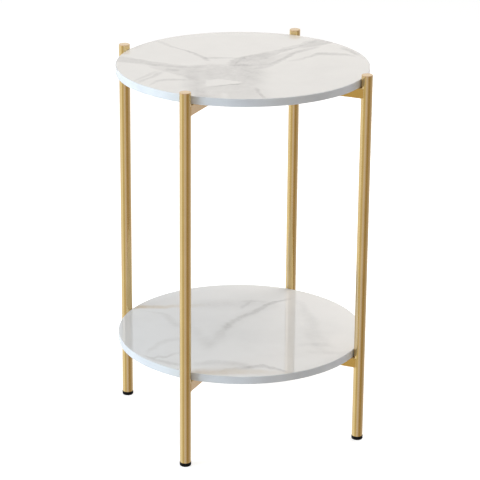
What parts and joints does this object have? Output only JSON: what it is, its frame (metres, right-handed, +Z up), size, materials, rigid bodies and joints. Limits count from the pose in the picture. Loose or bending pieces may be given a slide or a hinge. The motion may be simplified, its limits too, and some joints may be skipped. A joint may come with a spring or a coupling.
{
  "type": "side table",
  "caption": "Round tiered side table: glossy marble-look panels held between upright gold tube legs on crossed bars, with black feet, for setting things on and storing below.",
  "frame": {"origin": "on the floor under the centre of the panels", "axes": "+Z up, +X towards the right leg, -Y towards the front leg"},
  "size_m": [0.415, 0.415, 0.582],
  "materials": {
    "gold_metal": "satin gold finish on welded steel tube",
    "marble_laminate": "high-gloss laminate with a soft grey marble vein",
    "white_edge": "smooth white plastic edge band",
    "white_paper": "plain matt balancing sheet",
    "fibreboard": "plain pressed fibreboard",
    "black_plastic": "moulded black plastic",
    "screw_steel": "zinc-plated steel"
  },
  "bodies": {
    "root": {"foot_back": "black_plastic", "foot_front": "black_plastic", "foot_left": "black_plastic", "foot_right": "black_plastic", "leg_back": "gold_metal", "leg_cap_back": "gold_metal", "leg_cap_front": "gold_metal", "leg_cap_left": "gold_metal", "leg_cap_right": "gold_metal", "leg_front": "gold_metal", "leg_left": "gold_metal", "leg_right": "gold_metal", "lower_long_bar": "gold_metal", "lower_short_bar_back": "gold_metal", "lower_short_bar_front": "gold_metal", "shelf_backing_sheet": "white_paper", "shelf_board": "fibreboard", "shelf_edge_band": "white_edge", "shelf_marble_face": "marble_laminate", "shelf_panel_screws": "screw_steel", "top_backing_sheet": "white_paper", "top_board": "fibreboard", "top_edge_band": "white_edge", "top_marble_face": "marble_laminate", "top_panel_screws": "screw_steel", "upper_long_bar": "gold_metal", "upper_short_bar_back": "gold_metal", "upper_short_bar_front": "gold_metal"}
  },
  "joints": []
}
